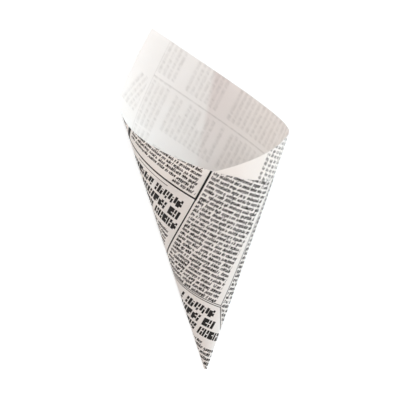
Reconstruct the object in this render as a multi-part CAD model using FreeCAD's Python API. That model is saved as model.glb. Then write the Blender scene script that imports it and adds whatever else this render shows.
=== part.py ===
import FreeCAD, Part
import bisect
import math
import os

# A cone-shaped fry bag rolled from one flat sheet of greaseproof paper, lying on its back.
# The sheet is first laid out flat around the tip. A place on it is a reach from the tip, in mm,
# and a sweep around the tip, in degrees, with 0 where the middle of the front will be.
# Rolling then turns each sweep into a straight ruling from the tip up the cone's wall.

# Paper
paperThickness = 0.15
layerGap = 0.15           # air between the two layers where the sheet overlaps itself

# Section of the open cone, measured across the axis at sectionHeight above the tip
sectionHeight = 200.0
halfWidth = 63.0          # from the middle to each side
frontDepth = 38.0         # the front bulges more than the back
backDepth = 28.0

# Outline of the flat sheet: straight edges, each by its nearest reach and the sweep of that point
underEdgeReach = 156.0    # mouth edge of the under layer, across the front
underEdgeSweep = -14.2
backEdgeReach = 184.0     # long mouth edge, from the right side round the back to the high corner
backEdgeSweep = 9.1
flapEdgeReach = 155.0     # mouth edge of the outer flap, from the high corner across the front
flapEdgeSweep = 104.3
startSweep = -15.0        # the sheet starts under the flap
endSweep = 120.0          # and ends round the back, outside
tipTrim = 1.5             # the rolled tip starts this far from the true point

# The side that the cone comes to rest on, as an angle round the axis from the middle of the front
restRoll = 180.0

rollStep = 0.25           # fineness of the roll-to-sweep table, in degrees
curveStep = 2.0           # spacing of the points that each long edge passes through, in degrees of sweep


def rulingDirection(roll):
    """Unit vector from the tip up the wall: X to the right, Y up the axis, Z to the front."""
    angle = math.radians(roll)
    depth = frontDepth if math.cos(angle) > 0 else backDepth
    ruling = FreeCAD.Vector(halfWidth * math.sin(angle), sectionHeight, depth * math.cos(angle))
    return ruling.normalize()


def outwardNormal(roll):
    """Unit normal of the wall along one ruling, pointing out of the cone."""
    angle = math.radians(roll)
    depth = frontDepth if math.cos(angle) > 0 else backDepth
    along = FreeCAD.Vector(halfWidth * math.cos(angle), 0, -depth * math.sin(angle))
    return rulingDirection(roll).cross(along).normalize() * -1


def rollTable():
    """Rolls from the middle of the front through two turns, with the sweep used up at each."""
    rolls = [0.0]
    sweeps = [0.0]
    while rolls[-1] < 720.0:
        nextRoll = rolls[-1] + rollStep
        turned = rulingDirection(rolls[-1]).getAngle(rulingDirection(nextRoll))
        rolls.append(nextRoll)
        sweeps.append(sweeps[-1] + math.degrees(turned))
    return rolls, sweeps


rolls, sweeps = rollTable()
turnSweep = sweeps[len(sweeps) // 2]      # flat angle of sheet that one turn of the cone takes


def rollAt(sweep):
    """Roll round the axis of the ruling at a sweep, which may be before the middle of the front."""
    turn = -1 if sweep < 0 else 0
    sweep -= turn * turnSweep
    index = min(bisect.bisect_right(sweeps, sweep), len(sweeps) - 1)
    share = (sweep - sweeps[index - 1]) / (sweeps[index] - sweeps[index - 1])
    return rolls[index - 1] + share * rollStep + turn * 360.0


startRoll = rollAt(startSweep)


def wallPoint(reach, sweep, outside):
    """Point of the rolled sheet. Each turn winds one layer further out than the one before."""
    roll = rollAt(sweep)
    lift = (paperThickness + layerGap) * (roll - startRoll) / 360.0
    if outside:
        lift += paperThickness
    return rulingDirection(roll) * reach + outwardNormal(roll) * lift


def reachAt(edge, sweep):
    nearest, footSweep = edge
    return nearest / math.cos(math.radians(sweep - footSweep))


def cornerSweep(first, second):
    """Sweep of the corner where two straight edges of the flat sheet meet."""
    (firstReach, firstFoot), (secondReach, secondFoot) = first, second
    firstFoot, secondFoot = math.radians(firstFoot), math.radians(secondFoot)
    across = secondReach * math.cos(firstFoot) - firstReach * math.cos(secondFoot)
    along = firstReach * math.sin(secondFoot) - secondReach * math.sin(firstFoot)
    return math.degrees(math.atan2(across, along))


underEdge = (underEdgeReach, underEdgeSweep)
backEdge = (backEdgeReach, backEdgeSweep)
flapEdge = (flapEdgeReach, flapEdgeSweep)
sideCorner = cornerSweep(underEdge, backEdge)
highCorner = cornerSweep(backEdge, flapEdge)


def longEdge(reachOf, first, last, outside):
    """Smooth edge along the sheet at a given reach for each sweep, from one sweep to another."""
    count = max(4, math.ceil((last - first) / curveStep))
    marks = [first + (last - first) * i / count for i in range(count + 1)]
    curve = Part.BSplineCurve()
    curve.interpolate(Points=[wallPoint(reachOf(mark), mark, outside) for mark in marks], Parameters=marks)
    return curve.toShape()


def stretchFaces(mouthEdge, first, last):
    """Wall, mouth rim and tip rim of the stretch of sheet under one straight mouth edge."""
    def mouth(sweep):
        return reachAt(mouthEdge, sweep)

    def tip(sweep):
        return tipTrim

    mouthIn, mouthOut = (longEdge(mouth, first, last, outside) for outside in (False, True))
    tipIn, tipOut = (longEdge(tip, first, last, outside) for outside in (False, True))
    pairs = [(tipIn, mouthIn), (tipOut, mouthOut), (mouthIn, mouthOut), (tipIn, tipOut)]
    sameWay = 1      # both edges of a pair run up the sweep, so the face is never twisted
    return [Part.makeRuledSurface(one, other, sameWay) for one, other in pairs]


def sideEdgeFace(mouthEdge, sweep):
    """Cut edge of the paper along the ruling where the sheet starts or ends."""
    reach = reachAt(mouthEdge, sweep)
    corners = [wallPoint(tipTrim, sweep, False), wallPoint(reach, sweep, False),
               wallPoint(reach, sweep, True), wallPoint(tipTrim, sweep, True)]
    return Part.Face(Part.makePolygon(corners + corners[:1]))


def rolledSheet():
    faces = [sideEdgeFace(underEdge, startSweep), sideEdgeFace(flapEdge, endSweep)]
    faces += stretchFaces(underEdge, startSweep, sideCorner)
    faces += stretchFaces(backEdge, sideCorner, highCorner)
    faces += stretchFaces(flapEdge, highCorner, endSweep)
    shell = Part.makeShell(faces)
    shell.sewShape()
    solid = Part.makeSolid(shell)
    if solid.Volume < 0:
        solid.reverse()
    return solid


def laidDown(solid):
    """Turn the cone on to its resting side, tip towards -Y, and centre it over the origin."""
    forward = rulingDirection(restRoll)
    up = outwardNormal(restRoll) * -1
    side = forward.cross(up)
    turn = FreeCAD.Matrix(
        side.x, side.y, side.z, 0,
        forward.x, forward.y, forward.z, 0,
        up.x, up.y, up.z, 0,
        0, 0, 0, 1)
    solid.transformShape(turn)
    box = solid.optimalBoundingBox(False, False)
    solid.translate(FreeCAD.Vector(-box.Center.x, -box.Center.y, -box.ZMin))
    return solid


cone = laidDown(rolledSheet())
print("valid", cone.isValid(), "closed", cone.Shells[0].isClosed(), "faces", len(cone.Faces))
print("volume cm3 %.3f" % (cone.Volume / 1000), "turn takes %.2f degrees of sheet" % turnSweep)
print("high corner at %.1f mm, sweep %.1f; side corner at %.1f mm, sweep %.1f" % (
    reachAt(backEdge, highCorner), highCorner, reachAt(backEdge, sideCorner), sideCorner))
print("box", cone.optimalBoundingBox(False, False))

os.makedirs("parts", exist_ok=True)
cone.exportStep("parts/paper_cone.step")
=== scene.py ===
import bpy
import math
from functools import partial
import numpy as np
from mathutils import Matrix, Vector, noise


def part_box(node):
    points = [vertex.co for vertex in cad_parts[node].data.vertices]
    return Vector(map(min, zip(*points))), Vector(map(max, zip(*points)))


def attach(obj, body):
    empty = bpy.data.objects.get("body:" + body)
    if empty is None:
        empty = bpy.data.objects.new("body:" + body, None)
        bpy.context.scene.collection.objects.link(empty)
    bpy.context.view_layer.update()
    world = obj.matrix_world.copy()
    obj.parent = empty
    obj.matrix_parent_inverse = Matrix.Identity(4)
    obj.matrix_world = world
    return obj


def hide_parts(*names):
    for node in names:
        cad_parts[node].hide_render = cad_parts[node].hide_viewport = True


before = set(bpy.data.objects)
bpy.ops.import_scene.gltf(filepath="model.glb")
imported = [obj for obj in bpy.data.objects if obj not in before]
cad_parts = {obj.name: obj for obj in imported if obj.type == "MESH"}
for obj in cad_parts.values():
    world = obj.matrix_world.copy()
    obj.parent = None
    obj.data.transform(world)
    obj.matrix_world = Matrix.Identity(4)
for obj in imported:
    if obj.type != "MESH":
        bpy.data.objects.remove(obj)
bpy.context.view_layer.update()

# The cone is one flat sheet, rolled. A place on the sheet is a reach from the tip in mm and a sweep
# round the tip in degrees, with 0 where the middle of the front will be.
coneSheet = {
    "thickness": 0.15, "layerGap": 0.15,
    "sectionHeight": 200.0, "halfWidth": 63.0, "frontDepth": 38.0, "backDepth": 28.0,
    # mouth edges of the flat sheet, each by its nearest reach and the sweep of that point
    "underEdge": (156.0, -14.2), "backEdge": (184.0, 9.1), "flapEdge": (155.0, 104.3),
    "startSweep": -15.0, "endSweep": 120.0, "tipTrim": 1.5,
    "restRoll": 180.0,                           # lies on its back
    "rollStep": 0.25, "sweepStep": 0.75, "reachSteps": 84,
    "reachSpacing": 0.9,                         # under 1, the points stand closer towards the mouth
    # mm: how far the hand-rolled wall strays, over what length, and how far from the tip it strays in full
    "unevenness": 0.45, "unevenSize": 46.0, "unevenFrom": 120.0,
    "sharpAngle": 40.0,
}


def rulings(rolls):
    angle = np.radians(rolls)
    depth = np.where(np.cos(angle) > 0, coneSheet["frontDepth"], coneSheet["backDepth"])
    rays = np.stack([coneSheet["halfWidth"] * np.sin(angle), np.full_like(angle, coneSheet["sectionHeight"]),
                     depth * np.cos(angle)], axis=-1)
    return rays / np.linalg.norm(rays, axis=-1, keepdims=True)


def outwards(rolls):
    angle = np.radians(rolls)
    depth = np.where(np.cos(angle) > 0, coneSheet["frontDepth"], coneSheet["backDepth"])
    along = np.stack([coneSheet["halfWidth"] * np.cos(angle), np.zeros_like(angle),
                      -depth * np.sin(angle)], axis=-1)
    normals = np.cross(along, rulings(rolls))
    return normals / np.linalg.norm(normals, axis=-1, keepdims=True)


# Rolls through two turns, with the sweep of flat sheet that each uses up.
tableRolls = np.arange(0.0, 720.0 + coneSheet["rollStep"] / 2, coneSheet["rollStep"])
chords = np.linalg.norm(np.diff(rulings(tableRolls), axis=0), axis=1)
tableSweeps = np.concatenate([[0.0], np.cumsum(np.degrees(2 * np.arcsin(chords / 2)))])
turnSweep = tableSweeps[len(tableSweeps) // 2]


def rollsAt(sweeps):
    turn = np.where(sweeps < 0, -1, 0)
    return np.interp(sweeps - turn * turnSweep, tableSweeps, tableRolls) + turn * 360.0


def wallPoints(reach, sweeps, lift=0.0):
    # on the outside of the sheet, where each turn winds one layer further out than the one before
    rolls = rollsAt(sweeps)
    startRoll = rollsAt(np.array(coneSheet["startSweep"]))
    wound = (coneSheet["thickness"] + coneSheet["layerGap"]) * (rolls - startRoll) / 360.0
    out = wound + coneSheet["thickness"] + lift
    return rulings(rolls) * reach[..., None] + outwards(rolls) * out[..., None]


def cornerSweep(first, second):
    # where two straight mouth edges meet
    (firstReach, firstFoot), (secondReach, secondFoot) = first, second
    firstFoot, secondFoot = math.radians(firstFoot), math.radians(secondFoot)
    across = secondReach * math.cos(firstFoot) - firstReach * math.cos(secondFoot)
    along = firstReach * math.sin(secondFoot) - secondReach * math.sin(firstFoot)
    return math.degrees(math.atan2(across, along))


sideCorner = cornerSweep(coneSheet["underEdge"], coneSheet["backEdge"])
highCorner = cornerSweep(coneSheet["backEdge"], coneSheet["flapEdge"])


def mouthReach(sweep):
    if sweep <= sideCorner:
        nearest, foot = coneSheet["underEdge"]
    elif sweep <= highCorner:
        nearest, foot = coneSheet["backEdge"]
    else:
        nearest, foot = coneSheet["flapEdge"]
    return nearest / math.cos(math.radians(sweep - foot))


# Turns the cone on to its resting side, as the CAD model lies.
forward = rulings(np.array(coneSheet["restRoll"]))
upward = -outwards(np.array(coneSheet["restRoll"]))
layDown = np.stack([np.cross(forward, upward), forward, upward])
nodeLow, nodeHigh = (np.array(corner) * 1000 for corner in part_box("paper_cone"))


def sheetMarks():
    marks = []
    stops = [coneSheet["startSweep"], sideCorner, highCorner, coneSheet["endSweep"]]
    for first, last in zip(stops, stops[1:]):
        count = math.ceil((last - first) / coneSheet["sweepStep"])
        marks += [first + (last - first) * i / count for i in range(count)]
    return np.array(marks + [stops[-1]])


def sheetGrid():
    # one row of points up each ruling, from the tip to the mouth
    marks = sheetMarks()
    steps = coneSheet["reachSteps"]
    mouths = np.array([mouthReach(mark) for mark in marks])
    share = (np.linspace(0, 1, steps + 1) ** coneSheet["reachSpacing"])[None, :]
    reach = coneSheet["tipTrim"] + (mouths[:, None] - coneSheet["tipTrim"]) * share
    return reach, np.repeat(marks[:, None], steps + 1, axis=1)


def shiftToNode(reach, sweeps):
    # sets the even cone in the CAD node's box
    outer = wallPoints(reach, sweeps) @ layDown.T
    inner = wallPoints(reach, sweeps, -coneSheet["thickness"]) @ layDown.T
    both = np.concatenate([outer.reshape(-1, 3), inner.reshape(-1, 3)])
    shift = (nodeLow + nodeHigh) / 2 - (both.min(0) + both.max(0)) / 2
    shift[2] = nodeLow[2] - both[:, 2].min()
    return shift


def wallStray(reach, sweeps):
    # the wall strays a little from the true cone, the same way in both layers, so they stay apart
    nominal = rulings(rollsAt(sweeps)) * reach[..., None] / coneSheet["unevenSize"]
    stray = np.array([noise.noise(Vector(spot)) for spot in nominal.reshape(-1, 3)]).reshape(reach.shape)
    return stray * coneSheet["unevenness"] * np.clip(reach / coneSheet["unevenFrom"], 0, 1)


def sheetMesh(points, flat):
    rows, columns = points.shape[:2]
    index = np.arange(rows * columns).reshape(rows, columns)
    faces = np.stack([index[:-1, :-1], index[1:, :-1], index[1:, 1:], index[:-1, 1:]], axis=-1).reshape(-1, 4)
    mesh = bpy.data.meshes.new("paperCone")
    mesh.from_pydata((points.reshape(-1, 3) / 1000).tolist(), [], faces.tolist())
    layer = mesh.uv_layers.new(name="flatSheet")      # the sheet laid out flat, in metres
    corners = np.zeros(len(mesh.loops), dtype=np.int32)
    mesh.loops.foreach_get("vertex_index", corners)
    layer.data.foreach_set("uv", (flat.reshape(-1, 2) / 1000)[corners].reshape(-1))
    return mesh


def makeCone():
    reach, sweeps = sheetGrid()
    shift = shiftToNode(reach, sweeps)
    points = wallPoints(reach, sweeps, wallStray(reach, sweeps)) @ layDown.T + shift
    points[..., 2] = np.maximum(points[..., 2], nodeLow[2] + coneSheet["thickness"])
    flat = np.stack([reach * np.sin(np.radians(sweeps)), reach * np.cos(np.radians(sweeps))], axis=-1)
    mesh = sheetMesh(points, flat)
    rolled = bpy.data.objects.new("paperConeRolled", mesh)
    bpy.context.scene.collection.objects.link(rolled)
    for material in (printedSide, plainSide, cutEdge):
        mesh.materials.append(material)
    thick = rolled.modifiers.new("sheetThickness", "SOLIDIFY")
    thick.thickness = coneSheet["thickness"] / 1000
    thick.offset = -1
    thick.material_offset = 1
    thick.material_offset_rim = 2
    solid = bpy.data.meshes.new_from_object(rolled.evaluated_get(bpy.context.evaluated_depsgraph_get()))
    bpy.data.objects.remove(rolled)
    solid.shade_smooth()
    solid.set_sharp_from_angle(angle=math.radians(coneSheet["sharpAngle"]))
    piece = bpy.data.objects.new("paperCone", solid)
    bpy.context.scene.collection.objects.link(piece)
    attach(piece, "root")
    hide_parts("paper_cone")
    return piece, shift


# Small helpers for shader nodes. A term is a number, a colour or another node's output.
def feed(tree, socket, term):
    if isinstance(term, bpy.types.NodeSocket):
        tree.links.new(term, socket)
    else:
        socket.default_value = term


def step(tree, operation, *terms):
    node = tree.nodes.new("ShaderNodeMath")
    node.operation = operation
    for socket, term in zip(node.inputs, terms):
        feed(tree, socket, term)
    return node.outputs[0]


def product(tree, *terms):
    total = terms[0]
    for term in terms[1:]:
        total = step(tree, "MULTIPLY", total, term)
    return total


def largest(tree, *terms):
    total = terms[0]
    for term in terms[1:]:
        total = step(tree, "MAXIMUM", total, term)
    return total


def within(tree, value, low, high):
    return step(tree, "COMPARE", value, (low + high) / 2, (high - low) / 2)


def counted(tree, whole, first, last):
    # where a whole number is one of first to last
    slack = 0.1
    return within(tree, whole, first - slack, last + slack)


def fromZero(tree, whole):
    # where a whole number is 0 or more
    return step(tree, "GREATER_THAN", whole, -0.5)


def between(tree, roll, low, high):
    # a roll of 0 to 1, spread from low to high
    return step(tree, "MULTIPLY_ADD", roll, high - low, low)


def blendOf(tree, share, first, second):
    node = tree.nodes.new("ShaderNodeMix")
    for socket, term in zip((node.inputs[0], node.inputs[2], node.inputs[3]), (share, first, second)):
        feed(tree, socket, term)
    return node.outputs[0]


def pick(tree, flag, ifNot, ifSo):
    return [blendOf(tree, flag, first, second) for first, second in zip(ifNot, ifSo)]


def mixColours(tree, share, first, second, blend="MIX"):
    node = tree.nodes.new("ShaderNodeMix")
    node.data_type = "RGBA"
    node.blend_type = blend
    for socket, term in zip((node.inputs[0], node.inputs[6], node.inputs[7]), (share, first, second)):
        feed(tree, socket, term)
    return node.outputs[2]


def rolledDice(tree, first, second, third):
    spot = tree.nodes.new("ShaderNodeCombineXYZ")
    for socket, term in zip(spot.inputs, (first, second, third)):
        feed(tree, socket, term)
    dice = tree.nodes.new("ShaderNodeTexWhiteNoise")
    tree.links.new(spot.outputs[0], dice.inputs["Vector"])
    parts = tree.nodes.new("ShaderNodeSeparateColor")
    tree.links.new(dice.outputs["Color"], parts.inputs[0])
    return [dice.outputs["Value"], *parts.outputs[:3]]


def newGroup(name, inputs, outputs):
    tree = bpy.data.node_groups.new(name, "ShaderNodeTree")
    for label, kind in inputs:
        tree.interface.new_socket(label, in_out="INPUT", socket_type="NodeSocket" + kind)
    for label, kind in outputs:
        tree.interface.new_socket(label, in_out="OUTPUT", socket_type="NodeSocket" + kind)
    return tree, tree.nodes.new("NodeGroupInput").outputs, tree.nodes.new("NodeGroupOutput").inputs


def place(tree, group, **values):
    node = tree.nodes.new("ShaderNodeGroup")
    node.node_tree = group
    for label, term in values.items():
        feed(tree, node.inputs[label], term)
    return node.outputs


# A block of make-believe type is rows of marks. Each mark is two upright strokes, some trimmed, nicked or
# run together, and never a letter. Places across a mark are shares of its width, and up it, of its height.
marks = {
    "baseline": 0.78,                            # how far down its row a mark stands, of the row
    "wide": (0.9, 1.1), "tilt": (-0.13, 0.13),
    "firstStart": 0.05, "firstEnd": (0.46, 0.58), "secondEnd": (0.98, 1.08),
    "rise": 0.48, "hang": 0.38, "hangShare": 0.5,      # past the row, and how many hang for each that rises
    "whole": 0.7, "footTrim": 0.2, "topTrim": 0.22,    # how many strokes aren't trimmed, and the trims
    "nickAt": (0.3, 0.66), "nickHalf": 0.055, "nicksOnFirst": 0.5,
    "shortRow": (0.3, 0.8),                      # of the block's length
    "shortestWord": 2.0,                         # in marks
    "lateGap": 0.99,                             # a roll that sets the gap as late as it goes
    "depthSlack": 0.1,                           # mm
    "rowSeed": 3.7, "wordSeed": 11.0, "moreSeed": 41.5,
}
blockInputs = ("Along", "Across", "Length", "Depth", "Pitch")
# Seen through the paper, a row is one soft bar on a faint ground.
softBars = {"full": 1.75, "fall": 2.2, "ground": (0.25, 1.0), "uneven": (0.4, 1.0), "wordGaps": (0.7, 1.0)}


def markInk(tree, given, up, side, dice, more):
    calc, spread = partial(step, tree), partial(between, tree)
    side = calc("ADD", side, calc("MULTIPLY", calc("SUBTRACT", up, 0.5), spread(more[1], *marks["tilt"])))
    halfGap = calc("MULTIPLY", given["Gap"], 0.5)
    # first stroke, which may rise above the row
    firstEnd = calc("SUBTRACT", spread(dice[1], *marks["firstEnd"]), halfGap)
    rises = calc("GREATER_THAN", dice[2], calc("SUBTRACT", 1.0, given["Stems"]))
    foot = calc("MULTIPLY", calc("GREATER_THAN", more[2], marks["whole"]), marks["footTrim"])
    firstStroke = product(
        tree, calc("GREATER_THAN", side, marks["firstStart"]), calc("LESS_THAN", side, firstEnd),
        calc("LESS_THAN", up, calc("MULTIPLY_ADD", rises, marks["rise"], 1.0)),
        calc("GREATER_THAN", up, foot))
    # second stroke, which may hang below it
    runTogether = calc("LESS_THAN", more[0], given["Joined"])
    secondStart = calc("ADD", firstEnd, blendOf(tree, runTogether, given["Gap"], 0.0))
    secondEnd = calc("SUBTRACT", spread(dice[3], *marks["secondEnd"]), halfGap)
    hangs = calc("LESS_THAN", dice[2], calc("MULTIPLY", given["Stems"], marks["hangShare"]))
    trimmed = calc("MULTIPLY", calc("GREATER_THAN", more[3], marks["whole"]), marks["topTrim"])
    secondStroke = product(
        tree, calc("GREATER_THAN", side, secondStart), calc("LESS_THAN", side, secondEnd),
        calc("LESS_THAN", up, calc("SUBTRACT", 1.0, trimmed)),
        calc("GREATER_THAN", up, calc("MULTIPLY", hangs, -marks["hang"])),
        calc("GREATER_THAN", more[2], given["Thin"]))
    # a nick across one of the two
    onSecond = calc("GREATER_THAN", more[0], marks["nicksOnFirst"])
    nicked = blendOf(tree, onSecond, calc("LESS_THAN", side, firstEnd),
                     calc("GREATER_THAN", side, secondStart))
    nick = product(tree, calc("COMPARE", up, spread(more[3], *marks["nickAt"]), marks["nickHalf"]), nicked)
    return product(tree, calc("MAXIMUM", firstStroke, secondStroke), calc("SUBTRACT", 1.0, nick))


def makeTypeRows():
    # Along and Across run from the block's first mark, and Length and Depth say where it ends.
    labels = blockInputs + (
        "Height", "Width", "Gap", "WordLength", "WordGap", "ByTurns", "ShortRows", "Stems", "Joined", "Thin",
        "Lean", "Seed")
    tree, given, made = newGroup("typeRows", [(label, "Float") for label in labels],
                                 [("Ink", "Float"), ("Bar", "Float")])
    calc, spread = partial(step, tree), partial(between, tree)
    lines = calc("DIVIDE", given["Across"], given["Pitch"])
    line = calc("FLOOR", lines)
    aboveBase = calc("SUBTRACT", marks["baseline"], calc("SUBTRACT", lines, line))
    up = calc("DIVIDE", calc("MULTIPLY", aboveBase, given["Pitch"]), given["Height"])
    lineDice = rolledDice(tree, line, given["Seed"], marks["rowSeed"])
    along = calc("SUBTRACT", given["Along"], product(tree, up, given["Lean"], given["Height"]))
    width = calc("MULTIPLY", given["Width"], spread(lineDice[0], *marks["wide"]))
    cells = calc("DIVIDE", along, width)
    cell = calc("FLOOR", cells)
    side = calc("SUBTRACT", cells, cell)
    dice = rolledDice(tree, cell, line, given["Seed"])
    more = rolledDice(tree, cell, line, calc("ADD", given["Seed"], marks["moreSeed"]))

    # a row now and then stops short, as at the end of a paragraph
    shortRow = calc("LESS_THAN", lineDice[1], given["ShortRows"])
    rowShare = blendOf(tree, shortRow, 1.0, spread(lineDice[2], *marks["shortRow"]))
    rowLength = calc("MULTIPLY", given["Length"], rowShare)
    inRow = calc("LESS_THAN", calc("MULTIPLY", calc("ADD", cell, 1.0), width), rowLength)
    depth = calc("ADD", given["Depth"], marks["depthSlack"])
    inDepth = calc("LESS_THAN", calc("MULTIPLY", calc("ADD", line, 1.0), given["Pitch"]), depth)
    inBlock = product(tree, fromZero(tree, cell), inRow, fromZero(tree, line), inDepth)

    # one gap between words in each run of marks: anywhere in it, or late and early by turns from row to row
    word = calc("FLOOR", calc("DIVIDE", cell, given["WordLength"]))
    anywhere = rolledDice(tree, word, line, calc("ADD", given["Seed"], marks["wordSeed"]))[0]
    byTurns = calc("MULTIPLY", counted(tree, calc("PINGPONG", line, 1.0), 0, 0), marks["lateGap"])
    gapRoll = blendOf(tree, given["ByTurns"], anywhere, byTurns)
    room = calc("SUBTRACT", given["WordLength"], marks["shortestWord"])
    gapCell = calc("MULTIPLY_ADD", word, given["WordLength"],
                   calc("FLOOR", calc("MULTIPLY_ADD", gapRoll, room, marks["shortestWord"])))
    atGap = product(tree, calc("COMPARE", cell, gapCell, 0.5), calc("LESS_THAN", side, given["WordGap"]))
    inWord = calc("SUBTRACT", 1.0, atGap)
    tree.links.new(product(tree, markInk(tree, given, up, side, dice, more), inWord, inBlock), made["Ink"])

    fromMiddle = calc("ABSOLUTE", calc("SUBTRACT", up, 0.5))
    solid = calc("MINIMUM", calc("MULTIPLY_ADD", fromMiddle, -softBars["fall"], softBars["full"]), 1.0)
    bar = product(tree, inBlock, spread(calc("MAXIMUM", solid, 0.0), *softBars["ground"]),
                  spread(dice[0], *softBars["uneven"]), spread(inWord, *softBars["wordGaps"]))
    tree.links.new(bar, made["Bar"])
    return tree


# Parts of three pages meet on the sheet, side by side round the tip: one at the right, one round the back and
# one across the front. Each has its own frame on the flat sheet, in mm and degrees: its origin, the way along
# its lines of type, and the way down its columns.
def pageFrame(tree, flat, page):
    # lengths along the lines and down the columns, which needn't be square to each other
    line, column = math.radians(page["lineWay"]), math.radians(page["columnWay"])
    axes = np.linalg.inv(np.array([[math.cos(line), math.cos(column)], [math.sin(line), math.sin(column)]]))
    found = []
    for axis in axes:
        dot = tree.nodes.new("ShaderNodeVectorMath")
        dot.operation = "DOT_PRODUCT"
        tree.links.new(flat, dot.inputs[0])
        dot.inputs[1].default_value = (axis[0], axis[1], 0)
        found.append(step(tree, "SUBTRACT", dot.outputs["Value"], float(axis @ np.array(page["origin"]))))
    return found


def beyondSweep(tree, flat, sweep):
    # mm past the ray from the tip at this sweep
    dot = tree.nodes.new("ShaderNodeVectorMath")
    dot.operation = "DOT_PRODUCT"
    tree.links.new(flat, dot.inputs[0])
    dot.inputs[1].default_value = (math.cos(math.radians(sweep)), -math.sin(math.radians(sweep)), 0)
    return dot.outputs["Value"]


# Each page gives its body type and its headlines as [along, across, length, depth, pitch], in mm.
# Headlines run back from their end. Half is a rule's half width, and Ink is how dark it is.
frontPage = {
    "origin": (138.6, 19.0), "lineWay": 244.8, "columnWay": 158.8, "linePitch": 3.52,
    "leftColumn": 65.0, "rightColumn": 52.0, "columnSeeds": (5.0, 8.3),
    "mainHalf": 0.5, "mainHalfAbove": 0.8, "leftRuleOut": 1.0, "leftRuleHalf": 1.4, "leftRuleEnd": 2.0,
}
# the stories in the left columns
story = {
    "depth": 118.0, "firstTop": -1.4,
    "headTop": 7.0, "headPitch": 9.2, "headDepth": 27.6, "headLength": 54.0,
    "headEnd": 59.1, "headShift": 1.9,
    "textTop": 36.03, "textRows": 22, "textIn": 2.2, "textLength": 58.4,
    "signedIn": 44.0, "signedLength": 19.6,
    "ruleHalf": 0.65,
    "shortRuleDown": 4.0, "shortRuleHalf": 0.28, "shortRuleSpan": (15.0, 43.4), "shortRuleInk": 0.85,
}
# the headline across the right columns, under twin rules that end in a slanting one
band = {
    "top": 66.0, "depth": 28.6,
    "headTop": 4.4, "headPitch": 8.2, "headDepth": 24.6, "headLength": 62.0, "firstLength": 31.5,
    "headEnd": 52.9, "headShift": 4.0,
    "ruleEnd": 54.2, "twinRuleOff": 0.7, "twinRuleHalf": 0.3,
    "slant": 0.56, "slantEnd": 67.0, "slantRuleHalf": 0.4, "slantRuleDepth": 18.0, "slantRuleInk": 0.9,
}
# the body type above and below it, with a rule along its slightly slanting edge
rightText = {
    "above": 47.37, "length": 47.4, "rows": 32, "textIn": 1.9, "columnShift": 2.6,
    "extraRows": 10, "pastSlant": 1.0,           # past the slanting rule the rows go further down
    "edge": 52.3, "edgeSlant": 0.031, "pastEdge": 0.7,
    "edgeRuleHalf": 0.35, "edgeRuleEnd": 65.5, "edgeRuleInk": 0.8,
    "tipTop": 96.5, "tipStart": 49.0, "tipFirstLength": 6.5, "tipDepth": 300.0,
}


def leftColumns(tree, down, column, local, columnDice):
    # story after story, each under its own rule and headline, and signed at the end
    calc = partial(step, tree)
    pitch = frontPage["linePitch"]
    anyTop = calc("MULTIPLY", columnDice[0], story["depth"])
    top = blendOf(tree, counted(tree, column, -1, -1), anyTop, story["firstTop"])
    number = calc("FLOOR", calc("DIVIDE", calc("SUBTRACT", down, top), story["depth"]))
    inStory = calc("SUBTRACT", calc("SUBTRACT", down, top), calc("MULTIPLY", number, story["depth"]))
    headDown = calc("SUBTRACT", inStory, story["headTop"])
    headLine = calc("FLOOR", calc("DIVIDE", headDown, story["headPitch"]))
    headEnd = calc("MULTIPLY_ADD", headLine, story["headShift"], story["headEnd"])
    head = [calc("SUBTRACT", headEnd, local), headDown,
            story["headLength"], story["headDepth"], story["headPitch"]]
    textDown = calc("SUBTRACT", inStory, story["textTop"])
    textDepth = (story["textRows"] + 1) * pitch
    text = [calc("SUBTRACT", local, story["textIn"]), textDown, story["textLength"], textDepth, pitch]
    signed = [calc("SUBTRACT", local, story["signedIn"]), textDown, story["signedLength"], textDepth, pitch]
    body = pick(tree, calc("GREATER_THAN", textDown, story["textRows"] * pitch), text, signed)
    rule = within(tree, inStory, 0.0, 2 * story["ruleHalf"])
    shortRule = product(tree, calc("COMPARE", inStory, story["shortRuleDown"], story["shortRuleHalf"]),
                        within(tree, local, *story["shortRuleSpan"]), story["shortRuleInk"])
    return body, head, calc("MAXIMUM", rule, shortRule)


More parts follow.
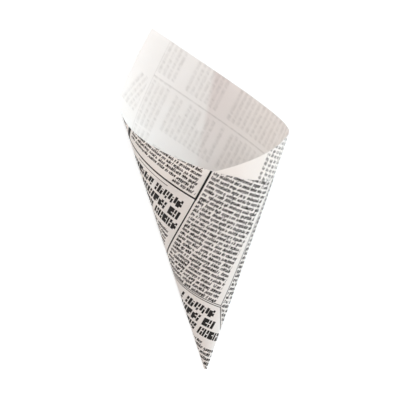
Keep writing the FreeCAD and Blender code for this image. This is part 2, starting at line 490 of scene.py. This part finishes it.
def rightColumns(tree, along, down, column, local, columnDice):
    # body type down to a headline across them, then more below
    calc = partial(step, tree)
    pitch = frontPage["linePitch"]
    bandDown = calc("SUBTRACT", down, band["top"])
    slanting = calc("MULTIPLY_ADD", bandDown, band["slant"], band["ruleEnd"])
    slantEdge = calc("MINIMUM", slanting, band["slantEnd"])
    headDown = calc("SUBTRACT", bandDown, band["headTop"])
    headLine = calc("FLOOR", calc("DIVIDE", headDown, band["headPitch"]))
    headEnd = calc("MULTIPLY_ADD", calc("MULTIPLY", headLine, headLine), band["headShift"], band["headEnd"])
    headLength = blendOf(tree, calc("LESS_THAN", headLine, 0.5), band["headLength"], band["firstLength"])
    head = [calc("SUBTRACT", headEnd, along), headDown, headLength, band["headDepth"], band["headPitch"]]

    pastFirst = calc("GREATER_THAN", column, 0.5)
    edge = calc("MULTIPLY_ADD", down, rightText["edgeSlant"], rightText["edge"])
    rowStart = blendOf(tree, pastFirst, calc("SUBTRACT", local, rightText["textIn"]),
                       calc("SUBTRACT", calc("SUBTRACT", along, edge), rightText["pastEdge"]))
    columnShift = product(tree, columnDice[1], rightText["columnShift"], pastFirst)
    pastSlant = calc("GREATER_THAN", along, calc("ADD", slantEdge, rightText["pastSlant"]))
    upperDepth = calc("MULTIPLY_ADD", pastSlant, rightText["extraRows"] * pitch, rightText["rows"] * pitch)
    upperDown = calc("ADD", calc("ADD", down, rightText["above"]), columnShift)
    upper = [rowStart, upperDown, rightText["length"], upperDepth, pitch]
    # near the tip the rows run across both columns, and the first is a short one
    tipDown = calc("SUBTRACT", down, rightText["tipTop"])
    atTip = calc("GREATER_THAN", along, rightText["tipStart"])
    firstRow = product(tree, atTip, calc("LESS_THAN", tipDown, pitch))
    tipAlong = blendOf(tree, atTip, rowStart, calc("SUBTRACT", along, rightText["tipStart"]))
    tipLength = blendOf(tree, firstRow, rightText["length"], rightText["tipFirstLength"])
    lower = [tipAlong, tipDown, tipLength, rightText["tipDepth"], pitch]
    body = pick(tree, calc("GREATER_THAN", bandDown, band["depth"]), upper, lower)

    edgeRule = product(tree, calc("COMPARE", along, edge, rightText["edgeRuleHalf"]),
                       calc("LESS_THAN", down, rightText["edgeRuleEnd"]), rightText["edgeRuleInk"])
    fromBandTop = calc("ABSOLUTE", bandDown)
    twinRules = product(tree, calc("COMPARE", fromBandTop, band["twinRuleOff"], band["twinRuleHalf"]),
                        calc("LESS_THAN", along, band["ruleEnd"]))
    slantRule = product(tree, calc("COMPARE", along, slantEdge, band["slantRuleHalf"]),
                        within(tree, bandDown, 0.0, band["slantRuleDepth"]), band["slantRuleInk"])
    return body, head, largest(tree, edgeRule, twinRules, slantRule)


def frontPageParts(tree, flat):
    calc = partial(step, tree)
    along, down = pageFrame(tree, flat, frontPage)
    isRight = calc("GREATER_THAN", along, 0.0)
    wide = blendOf(tree, isRight, frontPage["leftColumn"], frontPage["rightColumn"])
    column = calc("FLOOR", calc("DIVIDE", along, wide))
    local = calc("SUBTRACT", along, calc("MULTIPLY", column, wide))
    columnDice = rolledDice(tree, column, *frontPage["columnSeeds"])
    leftBody, leftHead, leftRules = leftColumns(tree, down, column, local, columnDice)
    rightBody, rightHead, rightRules = rightColumns(tree, along, down, column, local, columnDice)
    mainHalf = blendOf(tree, calc("LESS_THAN", down, 0.0), frontPage["mainHalf"], frontPage["mainHalfAbove"])
    mainRule = calc("COMPARE", along, 0.0, mainHalf)
    leftRuleAt = -frontPage["leftColumn"] - frontPage["leftRuleOut"]
    leftRule = product(tree, calc("COMPARE", along, leftRuleAt, frontPage["leftRuleHalf"]),
                       calc("LESS_THAN", down, frontPage["leftRuleEnd"]))
    rules = largest(tree, mainRule, leftRule, blendOf(tree, isRight, leftRules, rightRules))
    return pick(tree, isRight, leftBody, rightBody), pick(tree, isRight, leftHead, rightHead), rules


backPage = {
    "origin": (175.2, 131.0), "lineWay": 73.2, "columnWay": 171.4, "linePitch": 4.0, "endSweep": 63.0,
    "textDown": 0.2, "textDepth": 300.0,
    "upperIn": 3.4, "upperLength": 60.0, "underIn": 2.4, "blockPitch": 34.0, "blockLength": 28.0,
    "upperGaps": ((4, 5), (13, 14)), "underGaps": ((4, 4), (16, 16)),       # first and last row of each gap
    "topRows": 4, "topLength": 33.0,
    "headBlock": 1, "headRows": (5, 12), "headTop": 21.0, "headDepth": 27.6, "headPitch": 9.2,
    "longRuleHalf": 0.55, "endRuleHalf": 0.3, "endRuleInk": 0.8, "noteEnd": -2.0,
}
# Beside the back page's margin stands a note set at its own angle.
marginNote = {
    "origin": (173.5, 101.8), "lineWay": 93.5, "columnWay": 183.5, "length": 25.0, "rows": 4, "rowsAbove": 3,
}


def backPageParts(tree, flat):
    calc = partial(step, tree)
    along, down = pageFrame(tree, flat, backPage)
    pitch = backPage["linePitch"]
    upper = calc("GREATER_THAN", along, 0.0)
    # under the long rule the lines fall into blocks
    under = calc("SUBTRACT", calc("MULTIPLY", along, -1.0), backPage["underIn"])
    block = calc("FLOOR", calc("DIVIDE", under, backPage["blockPitch"]))
    textDown = calc("SUBTRACT", down, backPage["textDown"])
    row = calc("FLOOR", calc("DIVIDE", textDown, pitch))
    inTop = calc("LESS_THAN", row, backPage["topRows"] - 0.5)
    blockLength = blendOf(tree, inTop, backPage["blockLength"], backPage["topLength"])
    intoBlock = calc("SUBTRACT", under, calc("MULTIPLY", block, backPage["blockPitch"]))
    inBlock = calc("SUBTRACT", blockLength, intoBlock)
    underGap, upperGap = (largest(tree, *(counted(tree, row, *rows) for rows in backPage[gaps]))
                          for gaps in ("underGaps", "upperGaps"))
    headBlock = product(tree, counted(tree, block, backPage["headBlock"], backPage["headBlock"]),
                        counted(tree, row, *backPage["headRows"]))
    leftOut = calc("MAXIMUM", blendOf(tree, upper, underGap, upperGap), headBlock)
    length = product(tree, blendOf(tree, upper, blockLength, backPage["upperLength"]),
                     calc("SUBTRACT", 1.0, leftOut))
    body = [blendOf(tree, upper, inBlock, calc("SUBTRACT", along, backPage["upperIn"])), textDown, length,
            backPage["textDepth"], pitch]
    headLength = calc("MULTIPLY", headBlock, backPage["blockLength"])
    head = [inBlock, calc("SUBTRACT", down, backPage["headTop"]), headLength,
            backPage["headDepth"], backPage["headPitch"]]
    noteAlong, noteDown = pageFrame(tree, flat, marginNote)
    note = [noteAlong, calc("ADD", noteDown, marginNote["rowsAbove"] * pitch), marginNote["length"],
            marginNote["rows"] * pitch, pitch]
    longRule = product(tree, calc("COMPARE", along, 0.0, backPage["longRuleHalf"]),
                       calc("GREATER_THAN", down, 0.0))
    endRule = product(tree, calc("COMPARE", down, 0.0, backPage["endRuleHalf"]), backPage["endRuleInk"])
    atNote = calc("LESS_THAN", down, backPage["noteEnd"])
    return pick(tree, atNote, body, note), head, calc("MAXIMUM", longRule, endRule)


sidePage = {
    "origin": (42.5, 168.8), "lineWay": -34.5, "columnWay": 247.0, "linePitch": 3.6, "endSweep": 24.0,
    "rowsAbove": 60, "length": 240.0, "depth": 500.0, "wordLength": 3.0, "wordGap": 2.0, "inkShare": 0.8,
}
newsprint = {
    "paper": (0.88, 0.855, 0.83, 1), "inside": (0.9, 0.887, 0.87, 1), "ink": (0.014, 0.012, 0.011, 1),
    "showThrough": 0.17, "softness": 0.75,       # how much print shows on the plain side, and how blurred
    "pageGap": 1.0, "wordLength": 7.0, "wordGap": 0.74, "shortRows": 0.12,
}
# Height and width of the marks are in mm, and the rest are shares.
bodyType = {
    "Height": 2.05, "Width": 1.4, "Gap": 0.1, "ByTurns": 0.0, "Stems": 0.3, "Joined": 0.56, "Thin": 0.07,
    "Lean": 0.22, "Seed": 2.0,
}
headType = {
    "Height": 7.0, "Width": 4.6, "Gap": 0.16, "WordLength": 6.0, "WordGap": 0.53, "ByTurns": 1.0,
    "ShortRows": 0.0, "Stems": 0.0, "Joined": 0.3, "Thin": 0.0, "Lean": -0.03, "Seed": 7.0,
}


def makeSheetPrint():
    tree, given, made = newGroup("sheetPrint", [("Flat", "Vector")], [("Ink", "Float"), ("Bar", "Float")])
    calc = partial(step, tree)
    flat = given["Flat"]
    pastSide = beyondSweep(tree, flat, sidePage["endSweep"])
    pastBack = beyondSweep(tree, flat, backPage["endSweep"])
    onSide = calc("LESS_THAN", pastSide, 0.0)
    onFront = calc("GREATER_THAN", pastBack, 0.0)
    toEdge = calc("MINIMUM", calc("ABSOLUTE", pastSide), calc("ABSOLUTE", pastBack))
    clear = calc("GREATER_THAN", toEdge, newsprint["pageGap"])

    sideAlong, sideDown = pageFrame(tree, flat, sidePage)
    sideAcross = calc("ADD", sideDown, sidePage["rowsAbove"] * sidePage["linePitch"])
    sideBody = [sideAlong, sideAcross, sidePage["length"], sidePage["depth"], sidePage["linePitch"]]
    frontBody, frontHead, frontRules = frontPageParts(tree, flat)
    backBody, backHead, backRules = backPageParts(tree, flat)
    body = pick(tree, onFront, pick(tree, onSide, backBody, sideBody), frontBody)
    head = pick(tree, onFront, backHead, frontHead)
    offSide = calc("SUBTRACT", 1.0, onSide)
    rules = product(tree, blendOf(tree, onFront, backRules, frontRules), offSide)

    bodyRows = place(tree, typeRows, **dict(zip(blockInputs, body)), **bodyType,
                     WordLength=blendOf(tree, onSide, newsprint["wordLength"], sidePage["wordLength"]),
                     WordGap=blendOf(tree, onSide, newsprint["wordGap"], sidePage["wordGap"]),
                     ShortRows=blendOf(tree, onFront, newsprint["shortRows"], 0.0))
    headRows = place(tree, typeRows, **dict(zip(blockInputs, head)), **headType)
    bodyInk = blendOf(tree, onSide, 1.0, sidePage["inkShare"])
    for kind in ("Ink", "Bar"):
        heads = product(tree, headRows[kind], offSide)
        rows = calc("MULTIPLY", bodyRows[kind], bodyInk)
        tree.links.new(product(tree, largest(tree, rows, heads, rules), clear), made[kind])
    return tree


# Paper grain: each noise by its scale, for lengths in mm, and its detail.
grainNoise = {"cloud": (0.09, 3.0), "fibre": (1.6, 4.0), "blotch": (0.4, 3.0)}
grain = {"blotchContrast": 3.0, "blotchLow": -0.6, "cloudHeight": 1.2, "fibreHeight": 0.25}
# Painted shade: the plain side is painted a little darker and pinker past the middle of the back, standing in
# for the shade there, then clears again to the right corner.
paintedShadeBand = {
    "tint": (0.86, 0.815, 0.815, 1), "starts": 44.5, "slant": 0.3, "edge": 3.5, "clears": 45.0,
    "leastLeft": 0.15, "atRule": 0.8, "growsToMouth": 0.0125,
}
paperFinish = {
    "roughness": 0.62, "specular": 0.22, "cloud": 0.05, "fibre": 0.05,
    # thin paper lets some light through
    "subsurface": 1.0, "subsurfaceRadius": (1.0, 0.96, 0.93), "subsurfaceScale": 0.0002,
    "bumpStrength": 0.25, "bumpDistance": 0.0002,
}


def makePaperGrain():
    tree, given, made = newGroup("paperGrain", [("Flat", "Vector"), ("Cloud", "Float"), ("Fibre", "Float")],
                                 [("Tone", "Float"), ("Blotch", "Float"), ("Height", "Float")])
    calc = partial(step, tree)
    waves = {}
    for name, (scale, detail) in grainNoise.items():
        texture = tree.nodes.new("ShaderNodeTexNoise")
        texture.inputs["Scale"].default_value = scale
        texture.inputs["Detail"].default_value = detail
        tree.links.new(given["Flat"], texture.inputs["Vector"])
        waves[name] = texture.outputs[0]
    cloudTone = calc("MULTIPLY", calc("SUBTRACT", waves["cloud"], 0.5), given["Cloud"])
    fibreTone = calc("MULTIPLY", calc("SUBTRACT", waves["fibre"], 0.5), given["Fibre"])
    tree.links.new(calc("ADD", calc("ADD", cloudTone, fibreTone), 1.0), made["Tone"])
    blotch = calc("MULTIPLY_ADD", waves["blotch"], grain["blotchContrast"], grain["blotchLow"])
    tree.links.new(calc("MAXIMUM", blotch, 0.0), made["Blotch"])
    fibreHeight = calc("MULTIPLY", waves["fibre"], grain["fibreHeight"])
    tree.links.new(calc("MULTIPLY_ADD", waves["cloud"], grain["cloudHeight"], fibreHeight), made["Height"])
    return tree


def paintedShadeShare(tree, flat):
    # how much of the painted shade tint lies on the plain side at each place
    calc = partial(step, tree)
    along, down = pageFrame(tree, flat, backPage)
    past = calc("SUBTRACT", calc("MULTIPLY_ADD", along, paintedShadeBand["slant"], down), paintedShadeBand["starts"])
    begun = calc("MINIMUM", calc("MAXIMUM", calc("DIVIDE", past, paintedShadeBand["edge"]), 0.0), 1.0)
    left = calc("MAXIMUM", calc("MULTIPLY_ADD", past, -1.0 / paintedShadeBand["clears"], 1.0), paintedShadeBand["leastLeft"])
    nearMouth = calc("MULTIPLY_ADD", along, paintedShadeBand["growsToMouth"], paintedShadeBand["atRule"])
    return product(tree, begun, left, calc("MINIMUM", calc("MAXIMUM", nearMouth, 0.0), 1.0))


def paperMaterial(name, colour, inkShare=0.0, softShare=0.0):
    material = bpy.data.materials.new(name)
    material.use_nodes = True
    tree = material.node_tree
    shader = tree.nodes["Principled BSDF"]
    shader.inputs["Roughness"].default_value = paperFinish["roughness"]
    shader.inputs["Specular IOR Level"].default_value = paperFinish["specular"]
    shader.inputs["Subsurface Weight"].default_value = paperFinish["subsurface"]
    shader.inputs["Subsurface Radius"].default_value = paperFinish["subsurfaceRadius"]
    shader.inputs["Subsurface Scale"].default_value = paperFinish["subsurfaceScale"]
    flatMap = tree.nodes.new("ShaderNodeUVMap")
    flatMap.uv_map = "flatSheet"
    scaled = tree.nodes.new("ShaderNodeVectorMath")      # in mm from here on
    scaled.operation = "SCALE"
    scaled.inputs["Scale"].default_value = 1000.0
    tree.links.new(flatMap.outputs[0], scaled.inputs[0])
    flat = scaled.outputs[0]
    sheetGrain = place(tree, paperGrain, Flat=flat, Cloud=paperFinish["cloud"], Fibre=paperFinish["fibre"])
    base = mixColours(tree, 1.0, colour, sheetGrain["Tone"], "MULTIPLY")
    if softShare:
        # painted shade on the plain side, past the middle of the back
        base = mixColours(tree, paintedShadeShare(tree, flat), base, paintedShadeBand["tint"], "MULTIPLY")
    if inkShare:
        printed = place(tree, sheetPrint, Flat=flat)
        blotchy = blendOf(tree, softShare, 1.0, sheetGrain["Blotch"])
        softened = product(tree, blendOf(tree, softShare, printed["Ink"], printed["Bar"]), blotchy)
        base = mixColours(tree, step(tree, "MULTIPLY", softened, inkShare), base, newsprint["ink"])
    tree.links.new(base, shader.inputs["Base Color"])
    bump = tree.nodes.new("ShaderNodeBump")
    bump.inputs["Strength"].default_value = paperFinish["bumpStrength"]
    bump.inputs["Distance"].default_value = paperFinish["bumpDistance"]
    tree.links.new(sheetGrain["Height"], bump.inputs["Height"])
    tree.links.new(bump.outputs[0], shader.inputs["Normal"])
    return material


typeRows = makeTypeRows()
sheetPrint = makeSheetPrint()
paperGrain = makePaperGrain()
printedSide = paperMaterial("printedSide", newsprint["paper"], 1.0)
plainSide = paperMaterial("plainSide", newsprint["inside"], newsprint["showThrough"], newsprint["softness"])
cutEdge = paperMaterial("cutEdge", newsprint["inside"])
print("paper and print made")

cone, coneShift = makeCone()
print("cone rolled:", len(cone.data.polygons), "faces")

# Stage
stage = {
    "floorSize": 6.0, "floorColour": (0.8, 0.86, 0.89, 1), "floorRoughness": 0.9, "floorGlow": 0.5,
    "worldStrength": 0.665, "worldColour": (1.0, 0.91, 0.865, 1), "white": (1, 1, 1, 1),
}
lamps = {
    "keyLamp": {"at": (1.14, 0.72, 0.38), "size": 0.3, "power": 7.2, "colour": (0.72, 0.915, 1.0)},
    "fillLamp": {"at": (-0.05, 0.65, 1.2), "size": 0.8, "power": 4.3, "colour": (1.0, 0.93, 0.9)},
    "sideLamp": {"at": (1.2, -0.45, 0.4), "size": 0.4, "power": 2.7, "colour": (0.9, 0.97, 1.0)},
}
# The camera looks down at the cone from the mouth's side, square to the cone's width. Target and distance are
# in mm, in the cone's own frame before it is laid down.
camera = {
    "target": (-5.3, 129.4, 0.0), "distance": 1500.0, "towardsMouth": 17.0, "lean": 0.66,
    "lens": 190.67, "sensorWidth": 36.0, "clipStart": 0.05, "clipEnd": 20.0,
}


def backdropRays(tree):
    # rays that see the backdrop white and the floor glowing
    ray = tree.nodes.new("ShaderNodeLightPath")
    kinds = ("Camera", "Glossy", "Transmission")
    return largest(tree, *(ray.outputs["Is " + kind + " Ray"] for kind in kinds))


def makeFloor():
    half = stage["floorSize"] / 2
    corners = [(-half, -half, 0), (half, -half, 0), (half, half, 0), (-half, half, 0)]
    mesh = bpy.data.meshes.new("floor")
    mesh.from_pydata(corners, [], [(0, 1, 2, 3)])
    floor = bpy.data.objects.new("floor", mesh)
    bpy.context.scene.collection.objects.link(floor)
    material = bpy.data.materials.new("paleFloor")
    material.use_nodes = True
    tree = material.node_tree
    shader = tree.nodes["Principled BSDF"]
    shader.inputs["Base Color"].default_value = stage["floorColour"]
    shader.inputs["Roughness"].default_value = stage["floorRoughness"]
    shader.inputs["Specular IOR Level"].default_value = 0.0
    shader.inputs["Emission Color"].default_value = stage["white"]
    glow = step(tree, "MULTIPLY", backdropRays(tree), stage["floorGlow"])
    tree.links.new(glow, shader.inputs["Emission Strength"])
    mesh.materials.append(material)


def makeWorld():
    world = bpy.data.worlds.new("studio")
    bpy.context.scene.world = world
    world.use_nodes = True
    tree = world.node_tree
    light = tree.nodes["Background"]
    light.inputs["Color"].default_value = stage["worldColour"]
    light.inputs["Strength"].default_value = stage["worldStrength"]
    white = tree.nodes.new("ShaderNodeBackground")
    white.inputs["Color"].default_value = stage["white"]
    mix = tree.nodes.new("ShaderNodeMixShader")
    tree.links.new(backdropRays(tree), mix.inputs[0])
    tree.links.new(light.outputs[0], mix.inputs[1])
    tree.links.new(white.outputs[0], mix.inputs[2])
    tree.links.new(mix.outputs[0], tree.nodes["World Output"].inputs[0])


def makeLamp(name, at, size, power, colour):
    lamp = bpy.data.lights.new(name, "AREA")
    lamp.size = size
    lamp.energy = power
    lamp.color = colour
    holder = bpy.data.objects.new(name, lamp)
    holder.location = at
    holder.rotation_euler = (-Vector(at)).to_track_quat("-Z", "Y").to_euler()
    bpy.context.scene.collection.objects.link(holder)


def makeCamera():
    tipped, lean = math.radians(camera["towardsMouth"]), math.radians(camera["lean"])
    back = np.array([0, math.sin(tipped), math.cos(tipped)])
    up = np.array([0, math.cos(tipped), -math.sin(tipped)])
    right = np.array([1.0, 0, 0])
    right, up = right * math.cos(lean) + up * math.sin(lean), up * math.cos(lean) - right * math.sin(lean)
    turned = [layDown @ way for way in (right, up, back)]
    at = (layDown @ (np.array(camera["target"]) + back * camera["distance"]) + coneShift) / 1000
    lens = bpy.data.cameras.new("camera")
    lens.lens = camera["lens"]
    lens.sensor_width = camera["sensorWidth"]
    lens.clip_start, lens.clip_end = camera["clipStart"], camera["clipEnd"]
    holder = bpy.data.objects.new("camera", lens)
    rows = [[turned[0][i], turned[1][i], turned[2][i], at[i]] for i in range(3)]
    holder.matrix_world = Matrix(rows + [[0, 0, 0, 1]])
    bpy.context.scene.collection.objects.link(holder)
    bpy.context.scene.camera = holder


makeFloor()
makeWorld()
for lampName, lampValues in lamps.items():
    makeLamp(lampName, **lampValues)
makeCamera()
bpy.context.scene.view_settings.view_transform = "Standard"
print("stage, lamps and camera made")
